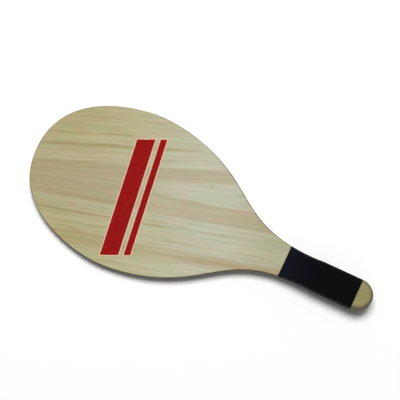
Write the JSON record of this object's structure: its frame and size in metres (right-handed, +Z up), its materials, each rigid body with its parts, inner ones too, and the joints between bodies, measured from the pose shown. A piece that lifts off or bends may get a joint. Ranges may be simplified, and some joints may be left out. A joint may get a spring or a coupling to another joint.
{
  "type": "frescobol racket",
  "caption": "Wooden paddle racket with a wide blunt blade, a short sleeved handle and a rounded wooden butt, lying flat.",
  "frame": {"origin": "on the surface that the racket lies on, under the middle of its bounding box", "axes": "+X along the racket from the head to the butt, +Y across the blade, +Z up from the surface; the racket leans 1.3 degrees about Y, because it lies on the edge of its head and on its thicker grip"},
  "size_m": [0.4402, 0.1924, 0.0268],
  "materials": {
    "face_veneer": "pale pine veneer, satin varnish",
    "cross_veneer": "pine veneer with its end grain showing, satin varnish",
    "core_veneer": "pine veneer, sanded edge, satin varnish",
    "cheek_wood": "solid pine, sanded round, satin varnish",
    "grip_rubber": "smooth matte black"
  },
  "bodies": {
    "root": {"front_face_ply": "face_veneer", "front_cross_ply": "cross_veneer", "core_ply": "core_veneer", "rear_cross_ply": "cross_veneer", "rear_face_ply": "face_veneer", "front_handle_cheek": "cheek_wood", "rear_handle_cheek": "cheek_wood", "grip_sleeve": "grip_rubber"}
  },
  "joints": []
}
